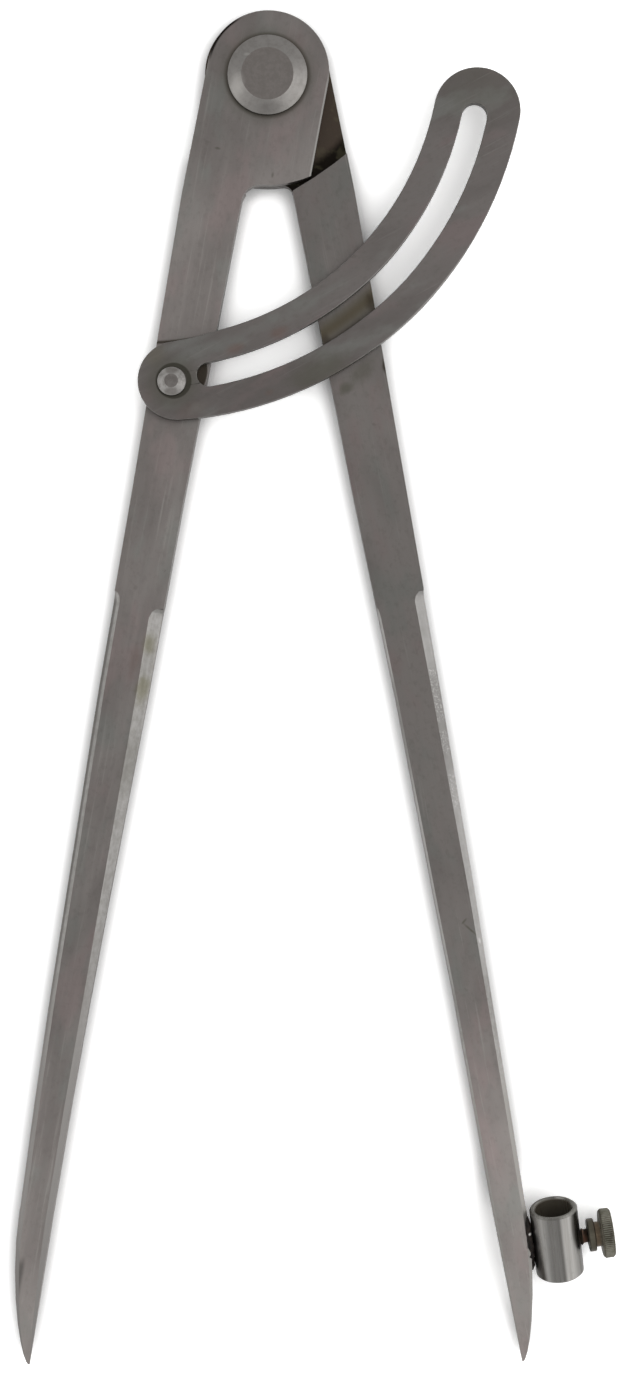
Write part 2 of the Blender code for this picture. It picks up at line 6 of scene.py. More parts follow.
import bmesh
import bpy
from mathutils import Matrix, Vector, noise
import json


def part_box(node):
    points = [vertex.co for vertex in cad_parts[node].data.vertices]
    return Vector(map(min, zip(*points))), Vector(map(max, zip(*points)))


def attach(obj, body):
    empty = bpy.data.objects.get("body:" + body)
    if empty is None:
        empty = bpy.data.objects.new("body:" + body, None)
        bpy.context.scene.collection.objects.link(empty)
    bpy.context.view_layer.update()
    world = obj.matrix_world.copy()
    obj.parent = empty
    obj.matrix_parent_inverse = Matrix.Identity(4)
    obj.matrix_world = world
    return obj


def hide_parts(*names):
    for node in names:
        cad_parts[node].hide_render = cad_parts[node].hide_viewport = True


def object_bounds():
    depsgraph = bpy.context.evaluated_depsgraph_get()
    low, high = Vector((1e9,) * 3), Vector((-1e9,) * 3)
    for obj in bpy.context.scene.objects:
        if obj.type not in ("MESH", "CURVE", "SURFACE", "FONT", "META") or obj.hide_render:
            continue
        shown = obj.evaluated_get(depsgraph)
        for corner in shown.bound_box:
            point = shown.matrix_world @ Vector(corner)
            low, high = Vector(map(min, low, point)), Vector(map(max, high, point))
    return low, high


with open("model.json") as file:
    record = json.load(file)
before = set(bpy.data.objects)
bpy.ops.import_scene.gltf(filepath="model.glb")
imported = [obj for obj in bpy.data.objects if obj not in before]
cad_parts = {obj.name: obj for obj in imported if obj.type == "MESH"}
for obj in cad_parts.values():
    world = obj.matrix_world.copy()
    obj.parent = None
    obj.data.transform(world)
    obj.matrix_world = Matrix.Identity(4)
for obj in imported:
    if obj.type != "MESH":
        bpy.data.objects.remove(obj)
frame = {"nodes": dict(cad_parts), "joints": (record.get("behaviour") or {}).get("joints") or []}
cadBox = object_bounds()
nodes = frame["nodes"]
joints = {joint["name"]: joint for joint in frame["joints"]}
mm = 0.001
print("frame loaded:", len(nodes), "nodes")


# Where things are, read off the frame

rivetPlace = Vector(joints["wing_swing"]["pos_m"])
screwPlace = Vector(joints["screw_turn"]["pos_m"])
screwAxis = Vector(joints["screw_turn"]["axis"]).normalized()
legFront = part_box("left_leg")[1].z
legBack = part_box("left_leg")[0].z
legMiddle = (legFront + legBack) / 2
leftLean = math.radians(-10.48)     # the legs' angles from straight up and down
rightLean = math.radians(11.22)
wingCentre = Vector((-26.742, 6.41, 0.0)) * mm    # centre of the wing's arc
pivotPlace = Vector()
up = Vector((0.0, 0.0, 1.0))


# Node helpers

def addNode(tree, kind, inputs=None, **settings):
    node = tree.nodes.new(kind)
    for key, value in settings.items():
        setattr(node, key, value)
    for socket, value in (inputs or {}).items():
        if isinstance(value, bpy.types.NodeSocket):
            tree.links.new(value, node.inputs[socket])
        else:
            node.inputs[socket].default_value = value
    return node


def maths(tree, operation, first, second=0.0):
    return addNode(tree, "ShaderNodeMath", {0: first, 1: second}, operation=operation).outputs[0]


def both(tree, *masks):
    # 1 where all the masks are 1
    whole = masks[0]
    for mask in masks[1:]:
        whole = maths(tree, "MULTIPLY", whole, mask)
    return whole


def vectors(tree, operation, first, second=None):
    inputs = {0: first} if second is None else {0: first, 1: tuple(second)}
    node = addNode(tree, "ShaderNodeVectorMath", inputs, operation=operation)
    return node.outputs["Value" if operation in ("LENGTH", "DOT_PRODUCT") else "Vector"]


def scaled(tree, colour, share):
    inputs = {0: colour, "Scale": share}
    return addNode(tree, "ShaderNodeVectorMath", inputs, operation="SCALE").outputs[0]


def stretched(tree, value, low, high, toLow=0.0, toHigh=1.0):
    # moves low..high to toLow..toHigh along a soft curve, and stops at both ends
    inputs = {"Value": value, "From Min": low, "From Max": high, "To Min": toLow, "To Max": toHigh}
    node = addNode(tree, "ShaderNodeMapRange", inputs, interpolation_type="SMOOTHSTEP")
    return node.outputs["Result"]


def between(tree, value, low, lowFull, highFull, high):
    # 1 from lowFull to highFull, falling to 0 at low and at high
    return both(tree, stretched(tree, value, high, highFull), stretched(tree, value, low, lowFull))


def stepped(tree, value, stops, unit=1.0):
    # goes softly from stop to stop: stops are (place, share)
    share = stops[0][1]
    for (place, first), (nextPlace, second) in zip(stops, stops[1:]):
        step = stretched(tree, value, place * unit, nextPlace * unit, 0.0, second - first)
        share = maths(tree, "ADD", share, step)
    return share


def blended(tree, share, first, second):
    node = addNode(tree, "ShaderNodeMix", {0: share}, data_type="RGBA")
    for socket, colour in ((node.inputs[6], first), (node.inputs[7], second)):
        if isinstance(colour, bpy.types.NodeSocket):
            tree.links.new(colour, socket)
        else:
            socket.default_value = (*colour, 1.0)
    return node.outputs[2]


def ownPlace(tree):
    return addNode(tree, "ShaderNodeTexCoord").outputs["Object"]


def partsOf(tree, vector):
    return addNode(tree, "ShaderNodeSeparateXYZ", {0: vector}).outputs


def facing(tree, axis):
    # how far the surface looks along an axis: 1 straight, 0 sideways
    return vectors(tree, "DOT_PRODUCT", addNode(tree, "ShaderNodeNewGeometry").outputs["Normal"], axis)


def along(tree, turn=0.0):
    # the piece's own coordinates, turned so that Y runs along a leg
    inputs = {"Vector": ownPlace(tree), "Rotation": (0.0, 0.0, -turn)}
    return addNode(tree, "ShaderNodeMapping", inputs, vector_type="POINT").outputs[0]


def grain(tree, coords, perMetre, detail=2.0, rough=0.5, offset=0.0):
    # noise with its own number of features per metre along each axis
    inputs = {"Vector": coords, "Scale": perMetre, "Location": (offset, offset, offset)}
    moved = addNode(tree, "ShaderNodeMapping", inputs).outputs[0]
    inputs = {"Vector": moved, "Scale": 1.0, "Detail": detail, "Roughness": rough}
    return addNode(tree, "ShaderNodeTexNoise", inputs).outputs[0]


def flatReach(tree, vector):
    # distance from the Z axis
    return vectors(tree, "LENGTH", vectors(tree, "MULTIPLY", vector, (1.0, 1.0, 0.0)))


def spot(tree, place, size, turn=0.0, core=0.2, wobble=None):
    # 1 inside an oval spot, falling to 0 at its edge, at any height
    inputs = {
        "Vector": ownPlace(tree),
        "Location": (place[0], place[1], 0.0),
        "Rotation": (0.0, 0.0, turn),
        "Scale": (size[0], size[1], 1.0),
    }
    local = addNode(tree, "ShaderNodeMapping", inputs, vector_type="TEXTURE").outputs[0]
    reach = flatReach(tree, local)
    if wobble:
        reach = maths(tree, "ADD", reach, maths(tree, "SUBTRACT", wobble, 0.5))
    return stretched(tree, reach, core, 1.0, 1.0, 0.0)


def ring(tree, centre, radius, inner, outer):
    # 1 on a circle round a Z axis, falling to 0 inner and outer away from it, all three in mm
    local = vectors(tree, "SUBTRACT", ownPlace(tree), (centre[0], centre[1], 0.0))
    reach = flatReach(tree, local)
    inside = stretched(tree, reach, (radius - inner) * mm, radius * mm)
    return both(tree, inside, stretched(tree, reach, radius * mm, (radius + outer) * mm, 1.0, 0.0))


def newFinish(name, metallic):
    finish = bpy.data.materials.new(name)
    finish.use_nodes = True
    shader = finish.node_tree.nodes["Principled BSDF"]
    shader.inputs["Metallic"].default_value = metallic
    return finish, finish.node_tree, shader


def laid(tree, shader, colour, roughBy, relief, look):
    # puts the colour, the roughness and a fine relief on the shader
    tree.links.new(colour, shader.inputs["Base Color"])
    tree.links.new(stretched(tree, roughBy, 0.3, 0.7, *look["rough"]), shader.inputs["Roughness"])
    strength, depth = look["relief"]
    inputs = {"Height": relief, "Strength": strength, "Distance": depth}
    tree.links.new(addNode(tree, "ShaderNodeBump", inputs).outputs[0], shader.inputs["Normal"])


# Steel. One recipe for all of it: a ground face with fine lengthwise scratches,
# slow clouds of tint, pits, and a painted highlight where the surface slopes.

steelGrain = {    # features per metre across, along and through, detail, roughness, offset
    "clouds": ((64, 24, 64), 3.0, 0.58),
    "tint": ((130, 60, 130), 3.0, 0.55, 7.3),
    "scratches": ((1500, 36, 1500), 3.0, 0.6, 3.1),
    "speckle": ((900, 620, 900), 3.0, 0.7, 1.7),
    "pits": ((330, 300, 330), 2.0, 0.5, 5.9),
    "wobble": ((260, 260, 260), 3.0, 0.6),
    "flecks": ((2900, 2300, 2900), 3.0, 0.7, 4.4),
}


def steel(name, look, turn=0.0):
    finish, tree, shader = newFinish(name, 1.0)
    coords = along(tree, turn)
    clouds, tint, scratches, speckle, pits = (
        grain(tree, coords, *steelGrain[part])
        for part in ("clouds", "tint", "scratches", "speckle", "pits")
    )
    colour = blended(tree, stretched(tree, clouds, 0.35, 0.65), look["shade"], look["face"])
    warm = stretched(tree, tint, 0.52, 0.68, 0.0, look["tinting"])
    cool = stretched(tree, tint, 0.48, 0.32, 0.0, look["tinting"])
    colour = blended(tree, warm, colour, look["warm"])
    colour = blended(tree, cool, colour, look["cool"])
    colour = blended(tree, stretched(tree, scratches, 0.56, 0.80, 0.0, 0.45), colour, look["scratch"])
    colour = blended(tree, stretched(tree, speckle, 0.52, 0.30, 0.0, 0.16), colour, look["pit"])
    pitted = maths(tree, "MULTIPLY", stretched(tree, pits, 0.735, 0.79), 0.22)
    colour = blended(tree, pitted, colour, look["pit"])

    # painted highlight: ground facets and chamfers are painted brighter than the faces
    lift = maths(tree, "ABSOLUTE", facing(tree, up))
    slopeHighlight = blended(tree, stretched(tree, speckle, 0.35, 0.65), look["slopeHighlightDim"], look["slopeHighlight"])
    colour = blended(tree, between(tree, lift, 0.30, 0.60, 0.93, 0.985), colour, slopeHighlight)

    relief = maths(tree, "ADD", scratches, maths(tree, "MULTIPLY", speckle, 0.6))
    laid(tree, shader, colour, scratches, relief, look)
    return finish, tree, shader, colour


def tonedAlong(tree, colour, stops):
    # makes the colour lighter or darker down a leg: stops are (height in mm, share)
    height = partsOf(tree, ownPlace(tree))["Y"]
    return scaled(tree, colour, stepped(tree, height, stops, mm))


stainAndLightTones = {
    "oil": (0.030, 0.024, 0.017),
    "lapOilAndShade": (0.042, 0.031, 0.023),
    "slotOilAndShade": (0.072, 0.061, 0.043),
    "olive": (0.120, 0.112, 0.066),
    "rust": (0.120, 0.070, 0.058),
    "smudge": (0.075, 0.072, 0.058),
    "edge": (0.330, 0.320, 0.305),
    "facetShade": (0.095, 0.090, 0.084),
    "facetPlain": (0.245, 0.235, 0.222),
    "facetHighlightDim": (0.190, 0.181, 0.173),
    "flash": (0.420, 0.410, 0.400),
    "black": (0.006, 0.005, 0.004),
    "dull": (0.110, 0.103, 0.098),
    "rubbed": (0.330, 0.318, 0.300),
    "chamferDull": (0.150, 0.140, 0.130),
}


def stainAndPaintedLight(tree, shader, colour, mask, amount, tone):
    # one more dark, tinted or bright layer over the colour so far: a stain, painted shade or a painted
    # highlight
    colour = blended(tree, maths(tree, "MULTIPLY", mask, amount), colour, stainAndLightTones[tone])
    tree.links.new(colour, shader.inputs["Base Color"])
    return colour


def marked(tree, shader, colour, marks, origin=pivotPlace, turn=0.0, core=0.2, wobble=None):
    # spots of stain, painted shade or painted highlight: marks are (place in mm, half sizes in mm,
    # amount, tone, own turn)
    for place, size, amount, tone, *ownTurn in marks:
        centre = origin + Vector((*place, 0.0)) * mm
        mask = spot(tree, centre, Vector(size) * mm, *(ownTurn or [turn]), core, wobble)
        colour = stainAndPaintedLight(tree, shader, colour, mask, amount, tone)
    return colour


edgeLook = {
    "join": 0.002 * mm,                 # the frame's corners come in split
    "crisp": math.radians(16),          # edges over this angle stay sharp
    "broken": math.radians(35),         # edges over this one are just broken
}


def joinAndSmooth():
    group = bpy.data.node_groups.new("join and smooth", "GeometryNodeTree")
    group.interface.new_socket("Geometry", in_out="INPUT", socket_type="NodeSocketGeometry")
    group.interface.new_socket("Geometry", in_out="OUTPUT", socket_type="NodeSocketGeometry")
    shape = addNode(group, "NodeGroupInput").outputs[0]
    inputs = {"Geometry": shape, "Distance": edgeLook["join"]}
    shape = addNode(group, "GeometryNodeMergeByDistance", inputs).outputs[0]
    inputs = {"Geometry": shape, "Name": "custom_normal"}
    shape = addNode(group, "GeometryNodeRemoveAttribute", inputs).outputs[0]
    shape = addNode(group, "GeometryNodeSetShadeSmooth", {"Geometry": shape}).outputs[0]
    angle = addNode(group, "GeometryNodeInputMeshEdgeAngle").outputs["Unsigned Angle"]
    steep = maths(group, "GREATER_THAN", angle, edgeLook["crisp"])
    inputs = {"Geometry": shape, "Selection": steep, "Shade Smooth": False}
    shape = addNode(group, "GeometryNodeSetShadeSmooth", inputs, domain="EDGE").outputs[0]
    addNode(group, "NodeGroupOutput", {0: shape})
    return group


joining = joinAndSmooth()


def dress(node, finish, bevel):
    # a CAD node keeps its shape and gets the finish, with its sharp edges just broken
    piece = nodes[node]
    piece.data.materials.clear()
    piece.data.materials.append(finish)
    join = piece.modifiers.new("join and smooth", "NODES")
    join.node_group = joining
    if bevel:
        edge = piece.modifiers.new("broken edges", "BEVEL")
        edge.width = bevel
        edge.segments = 2
        edge.limit_method = "ANGLE"
        edge.angle_limit = edgeLook["broken"]
        edge.harden_normals = True


# The legs

legLook = {
    "face": (0.170, 0.156, 0.148),
    "shade": (0.130, 0.118, 0.112),
    "warm": (0.176, 0.142, 0.138),
    "cool": (0.142, 0.146, 0.136),
    "scratch": (0.235, 0.226, 0.212),
    "pit": (0.070, 0.064, 0.056),
    "slopeHighlight": (0.235, 0.228, 0.220),
    "slopeHighlightDim": (0.194, 0.187, 0.177),
    "tinting": 0.55,
    "rough": (0.37, 0.48),
    "relief": (0.16, 0.04 * mm),        # strength and depth
    "bevel": 0.18 * mm,
}


def frontSlopes(tree):
    # the ground facets on the front
    return between(tree, facing(tree, up), 0.5, 0.6, 0.93, 0.97)


def lapMask(tree, upSide):
    # the sunk face of the half lap: old oil, and painted shade in the recess
    place = partsOf(tree, ownPlace(tree))
    outward = stretched(tree, maths(tree, "MULTIPLY", facing(tree, up), upSide), 0.3, 0.7)
    edge = 0.3 * mm
    if upSide > 0:
        sunk = stretched(tree, place["Z"], legMiddle + edge, legMiddle + 4 * edge, 1.0, 0.0)
    else:
        sunk = stretched(tree, place["Z"], legMiddle - 4 * edge, legMiddle - edge)
    return both(tree, outward, sunk, stretched(tree, place["Y"], -33 * mm, -29 * mm))


leftLook = {
    "tones": ((-8, 1.08), (-32, 1.25), (-100, 1.18), (-145, 1.0), (-190, 1.02), (-256, 1.55)),
    "lapEdge": 13.2 * mm,               # from the leg's centre line
    "lapEnds": (-24 * mm, -22 * mm, -2 * mm, 6 * mm),
    "crescent": ((0.2 * mm, 0.9 * mm), 13.35, 0.75, 0.8),
    "rivetCornerShade": (8.8, 0.6, 1.1),       # rings: radius, inner and outer fall, in mm
    "rivetShadeHalo": (8.8, 0.6, 3.2),
    "wingEdgeShadow": (64.7, 0.6, 0.6),
    # olive and rusty marks on the inner facet below the step, and painted shade in two of the head's
    # corners
    "marks": (
        ((-25.8, -124.0), (2.0, 3.8), 0.58, "olive"),
        ((-27.5, -134.2), (2.1, 5.0), 0.58, "olive"),
        ((-29.0, -128.0), (1.8, 6.0), 0.25, "rust"),
        ((-29.9, -149.5), (3.0, 10.0), 0.34, "smudge"),
        ((-26.4, -130.0), (3.0, 14.0), 0.16, "smudge"),
        ((-10.9, -15.9), (0.9, 0.4), 0.60, "smudge"),
        ((1.1, -21.8), (0.4, 0.9), 0.55, "smudge"),
    ),
    "slotEndShade": (((-15.4, -65.2), (2.4, 4.6), 0.93, "oil"),),
}


def leftLegFinish():
    look = leftLook
    finish, tree, shader, colour = steel("left leg, ground steel", legLook, leftLean)
    colour = tonedAlong(tree, colour, look["tones"])
    wobble = grain(tree, along(tree), *steelGrain["wobble"])
    # old oil and painted shade on the lap's sunk face
    colour = stainAndPaintedLight(tree, shader, colour, lapMask(tree, -1), 0.9, "lapOilAndShade")
    # painted shadow: a black crescent on the head's upper left, where the other head looks out
    rim = maths(tree, "MINIMUM", maths(tree, "MULTIPLY", ring(tree, *look["crescent"]), 2.0), 1.0)
    quarter = spot(tree, Vector((-10.5, 9.0)) * mm, Vector((5.5, 7.0)) * mm, -0.75, 0.5)
    colour = stainAndPaintedLight(tree, shader, colour, both(tree, rim, quarter), 0.97, "black")
    # painted highlight along the lap's right-hand edge
    local = partsOf(tree, along(tree, leftLean))
    fromEdge = maths(tree, "ABSOLUTE", maths(tree, "SUBTRACT", local["X"], look["lapEdge"]))
    paintedEdgeHighlight = both(
        tree,
        stretched(tree, fromEdge, 0.34 * mm, 0.16 * mm),
        between(tree, local["Y"], *look["lapEnds"]),
        stretched(tree, local["Z"], legFront - 1 * mm, legFront - 0.6 * mm),
    )
    colour = stainAndPaintedLight(tree, shader, colour, paintedEdgeHighlight, 0.70, "edge")
    # painted shade along the outer facet's lower side
    low = both(
        tree,
        stretched(tree, local["Z"], legFront - 0.30 * mm, legFront - 0.46 * mm),
        stretched(tree, local["X"], -4.5 * mm, -5.5 * mm),
        stretched(tree, local["Y"], -116 * mm, -119 * mm),
    )
    colour = stainAndPaintedLight(tree, shader, colour, low, 0.75, "facetShade")
    # the painted highlight on both facets fades towards the point
    dull = both(tree, frontSlopes(tree), stretched(tree, local["Y"], -184 * mm, -226 * mm))
    colour = stainAndPaintedLight(tree, shader, colour, dull, 0.93, "facetHighlightDim")
    # painted shade in the corner round the rivet's head, with a softer halo of painted shade
    colour = stainAndPaintedLight(tree, shader, colour, ring(tree, pivotPlace, *look["rivetCornerShade"]), 0.70, "oil")
    colour = stainAndPaintedLight(tree, shader, colour, ring(tree, pivotPlace, *look["rivetShadeHalo"]), 0.30, "smudge")
    colour = marked(tree, shader, colour, look["marks"], turn=leftLean, wobble=wobble)
    # painted shade in the end of the wing's slot, and a painted shadow along the wing's upper edge
    colour = marked(tree, shader, colour, look["slotEndShade"], turn=leftLean, core=0.85)
    stainAndPaintedLight(tree, shader, colour, ring(tree, wingCentre, *look["wingEdgeShadow"]), 0.92, "oil")
    return finish


rightLook = {
    "tones": ((-30, 0.78), (-60, 0.84), (-120, 0.72), (-168, 0.76), (-195, 0.90), (-236, 1.5)),
    "slotBand": (73.7, 3.6, 3.6),       # rings: radius, inner and outer fall, in mm
    "slotEdge": (76.7, 1.9, 0.6),
    "slotMarks": (
        ((22.6, -49.2), (1.9, 3.2), 0.75, "oil"),
        ((12.6, -58.2), (1.9, 3.0), 0.60, "oil"),
    ),
    # darker patches under the wing, a painted shadow at the leg's outer edge beside them, and the
    # scratch low on the leg: a V with a bright bruise
    "marks": (
        ((17.2, -68.3), (2.6, 1.7), 0.72, "smudge", 0.6),
        ((20.6, -64.8), (6.0, 2.6), 0.50, "smudge", 0.75),
        ((25.5, -63.3), (0.9, 2.4), 0.85, "oil", 0.2),
        ((44.3, -186.3), (0.45, 2.7), 0.88, "smudge", 0.85),
        ((42.9, -184.4), (0.36, 1.2), 0.75, "smudge", -0.69),
        ((34.0, -121.5), (1.0, 1.6), 0.30, "smudge", 0.3),
    ),
    "bruise": (((46.3, -188.7), (0.35, 0.9), 0.8, "flash"),),
    "fleckSpans": ((-133, -146), (-147, -153), (-156, -165)),    # mm, down the leg
}


def rightLegFinish():
    look = rightLook
    finish, tree, shader, colour = steel("right leg, ground steel", legLook, rightLean)
    colour = tonedAlong(tree, colour, look["tones"])
    wobble = grain(tree, along(tree), *steelGrain["wobble"])
    lap = lapMask(tree, 1)
    # old oil and painted shade on the lap's sunk face
    colour = stainAndPaintedLight(tree, shader, colour, lap, 0.92, "lapOilAndShade")
    # painted shadow: black in the lap's corner; and olive patches on its face
    reach = vectors(tree, "LENGTH", ownPlace(tree))
    reach = maths(tree, "ADD", reach, maths(tree, "MULTIPLY", wobble, 2 * mm))
    corner = both(tree, stretched(tree, reach, 21.4 * mm, 23.6 * mm), lap)
    colour = stainAndPaintedLight(tree, shader, colour, corner, 0.95, "black")
    patches = both(tree, stretched(tree, wobble, 0.5, 0.62), lap)
    colour = stainAndPaintedLight(tree, shader, colour, patches, 0.15, "olive")
    # the band under the wing's slot: oil and painted shade, darkest along its outer edge
    colour = stainAndPaintedLight(tree, shader, colour, ring(tree, wingCentre, *look["slotBand"]), 0.95, "slotOilAndShade")
    patchy = stretched(tree, wobble, 0.30, 0.55, 0.5, 1.0)
    edgeOilAndShade = both(tree, ring(tree, wingCentre, *look["slotEdge"]), patchy)
    colour = stainAndPaintedLight(tree, shader, colour, edgeOilAndShade, 0.92, "oil")
    colour = marked(tree, shader, colour, look["slotMarks"], turn=rightLean, core=0.1, wobble=wobble)
    colour = marked(tree, shader, colour, look["marks"], wobble=wobble)
    # the facets' painted highlight: brighter above the point and plain towards it, with painted shade
    # below the step
    sloping = frontSlopes(tree)
    local = along(tree, rightLean)
    height = partsOf(tree, local)["Y"]
    bright = both(tree, sloping, stretched(tree, height, -208 * mm, -196 * mm))
    colour = stainAndPaintedLight(tree, shader, colour, bright, 0.34, "flash")
    plain = both(tree, sloping, stretched(tree, height, -218 * mm, -232 * mm))
    colour = stainAndPaintedLight(tree, shader, colour, plain, 0.95, "facetPlain")
    dull = both(tree, between(tree, height, -166 * mm, -148 * mm, -137 * mm, -131 * mm), sloping)
    colour = stainAndPaintedLight(tree, shader, colour, dull, 0.45, "facetShade")
    # chatter marks on the outer facet: short bright flecks across it
    flecks = stretched(tree, grain(tree, local, *steelGrain["flecks"]), 0.50, 0.66)
    flecks = both(tree, flecks, stretched(tree, partsOf(tree, local)["X"], 2 * mm, 4 * mm))
    for upper, lower in look["fleckSpans"]:
        ends = [place * mm for place in (lower, lower + 1, upper - 1, upper)]
        span = both(tree, between(tree, height, *ends), flecks, sloping)
        colour = stainAndPaintedLight(tree, shader, colour, span, 0.55, "flash")
    marked(tree, shader, colour, look["bruise"], turn=rightLean)
    return finish


dress("left_leg", leftLegFinish(), legLook["bevel"])
dress("right_leg", rightLegFinish(), legLook["bevel"])
print("legs dressed")


# The wing: the same steel a little darker, its scratches following no one line

wingLook = dict(
    legLook,
    face=(0.124, 0.113, 0.108),
    shade=(0.098, 0.088, 0.084),
    warm=(0.140, 0.112, 0.110),
    scratch=(0.190, 0.182, 0.172),
    slopeHighlight=(0.190, 0.182, 0.172),
    slopeHighlightDim=(0.130, 0.124, 0.115),
    bevel=0.16 * mm,
    scratchTurn=math.radians(-62),
    markTurn=0.35,
    rivetRim=(3.35, 0.7, 0.75),         # rings: radius, inner and outer fall, in mm
    rivetRimShift=(0.40, 0.15, 0.0),    # mm
    rivetShadeHalo=(3.4, 0.6, 4.6),
    marks=(
        ((-7.0, -59.8), (2.8, 1.6), 0.40, "rust"),
        ((-24.5, -60.5), (4.0, 3.4), 0.22, "olive"),
        ((2.7, -56.2), (3.2, 1.5), 0.38, "rust"),
        ((0.5, -69.5), (1.6, 1.0), 0.20, "rust"),
        ((-16.0, -73.0), (5.0, 2.6), 0.16, "rust"),
        ((12.0, -64.5), (10.0, 4.6), 0.62, "smudge"),
        ((46.0, 0.0), (13.0, 15.0), 0.30, "smudge"),
    ),
    edgeHighlights=((83.15, 12, 0.50), (70.95, 6, 0.35)),    # radius and start in mm, amount
)


def wingFinish():
    look = wingLook
    finish, tree, shader, colour = steel("wing, ground steel", look, look["scratchTurn"])
    # painted shadow: a black ring round the rivet's raised head, and painted shade fading out around
    # it
    centre = rivetPlace + Vector(look["rivetRimShift"]) * mm
    rim = maths(tree, "MULTIPLY", ring(tree, centre, *look["rivetRim"]), 2.6)
    colour = stainAndPaintedLight(tree, shader, colour, maths(tree, "MINIMUM", rim, 1.0), 0.97, "black")
    colour = stainAndPaintedLight(tree, shader, colour, ring(tree, rivetPlace, *look["rivetShadeHalo"]), 0.55, "smudge")
    wobble = grain(tree, along(tree), *steelGrain["wobble"])
    colour = marked(tree, shader, colour, look["marks"], turn=look["markTurn"], wobble=wobble)
    # painted highlights on the edges: the outer one low on the arc, and the slot's inner one
    rightward = partsOf(tree, ownPlace(tree))["X"]
    for radius, start, amount in look["edgeHighlights"]:
        ends = [place * mm for place in (start, start + 8, 38, 44)]
        edge = ring(tree, wingCentre, radius, 0.22, 0.22)
        paintedEdgeHighlight = both(tree, edge, between(tree, rightward, *ends))
        colour = stainAndPaintedLight(tree, shader, colour, paintedEdgeHighlight, amount, "edge")
    return finish


dress("wing", wingFinish(), wingLook["bevel"])
print("wing dressed")


# Rivets and washer: turned, so their fine lines run round the axis

pivotLook = {
    "flat": (0.135, 0.123, 0.115),
    "flatLight": (0.152, 0.138, 0.130),
    "chamfer": (0.205, 0.196, 0.186),
    "chamferShade": (0.175, 0.166, 0.156),
    "edge": (0.060, 0.055, 0.048),
    "rough": (0.37, 0.48),
    "relief": (0.18, 0.04 * mm),
    "bevel": 0.10 * mm,
    "markCore": 0.2,
    "marks": (
        ((0.5, -7.4), (4.2, 2.4), 0.50, "dull"),        # painted shade at the bottom
        ((-6.6, -2.2), (2.2, 4.2), 0.50, "rubbed"),     # painted highlight on the left
        ((-4.4, 4.2), (1.0, 0.5), 0.45, "rubbed"),
    ),
}
wingRivetLook = dict(
    pivotLook,
    flat=(0.118, 0.108, 0.102),
    flatLight=(0.148, 0.138, 0.130),
    chamfer=(0.300, 0.290, 0.278),
    chamferShade=(0.200, 0.190, 0.180),
    edge=(0.020, 0.017, 0.013),
    bevel=0.08 * mm,
    markCore=0.4,
    marks=(
        # painted shade on the chamfer at the top and the bottom
        ((0.0, 2.3), (1.9, 1.2), 0.75, "chamferDull"),
        ((0.0, -2.3), (1.9, 1.2), 0.75, "chamferDull"),
    ),
)


def turnedFinish(name, centre, look):
    # fine lines round an upright axis: noise on the distance from it and on the height
    finish, tree, shader = newFinish(name, 1.0)
    coords = ownPlace(tree)
    local = vectors(tree, "SUBTRACT", coords, centre)
    inputs = {0: flatReach(tree, local), 1: partsOf(tree, local)["Z"]}
    lines = addNode(tree, "ShaderNodeCombineXYZ", inputs).outputs[0]
    rings = grain(tree, lines, (3600, 3600, 1), 3.0, 0.65)
    speckle = grain(tree, coords, (700, 700, 700), 3.0, 0.7, 2.2)
    lift = maths(tree, "ABSOLUTE", facing(tree, up))
    flat = blended(tree, stretched(tree, speckle, 0.35, 0.65), look["flat"], look["flatLight"])
    # painted highlight on the chamfer, and painted shade on the upright sides
    chamfer = blended(tree, stretched(tree, speckle, 0.3, 0.6), look["chamferShade"], look["chamfer"])
    colour = blended(tree, stretched(tree, lift, 0.985, 0.95), flat, chamfer)
    colour = blended(tree, stretched(tree, lift, 0.45, 0.2), colour, look["edge"])
    laid(tree, shader, colour, rings, rings, look)
    marked(tree, shader, colour, look["marks"], origin=centre, core=look["markCore"])
    return finish


pivotFinish = turnedFinish("pivot rivet, turned steel", pivotPlace, pivotLook)
dress("pivot_rivet", pivotFinish, pivotLook["bevel"])
dress("pivot_washer", pivotFinish, pivotLook["bevel"])
wingRivetFinish = turnedFinish("wing rivet, turned steel", rivetPlace, wingRivetLook)
dress("wing_rivet", wingRivetFinish, wingRivetLook["bevel"])
print("rivets dressed")


# The pencil tube: bright drawn steel, streaked along its length, with painted shade inside

tubeLook = {
    "face": (0.300, 0.292, 0.280),
    "shade": (0.190, 0.182, 0.170),
    # painted shade in the bore
    "inside": (0.062, 0.054, 0.041),
    "end": (0.150, 0.145, 0.130),
    "rough": (0.24, 0.38),
    "relief": (0.2, 0.05 * mm),
    "radius": 5.25 * mm,
    "insideFrom": (4.25 * mm, 4.10 * mm),             # from its axis
    "axis": Vector((-0.12611, 0.94266, 0.30902)).normalized(),    # foot to mouth
    # painted reflections and shade across the tube, from the leg's side (-1) to the screw's (1)
    "bands": ((-1.0, 0.40), (-0.90, 1.0), (-0.6, 1.10), (-0.35, 0.66), (0.10, 0.54),
              (0.28, 1.70), (0.50, 1.62), (0.64, 1.28), (0.76, 0.92), (0.98, 0.65)),
}


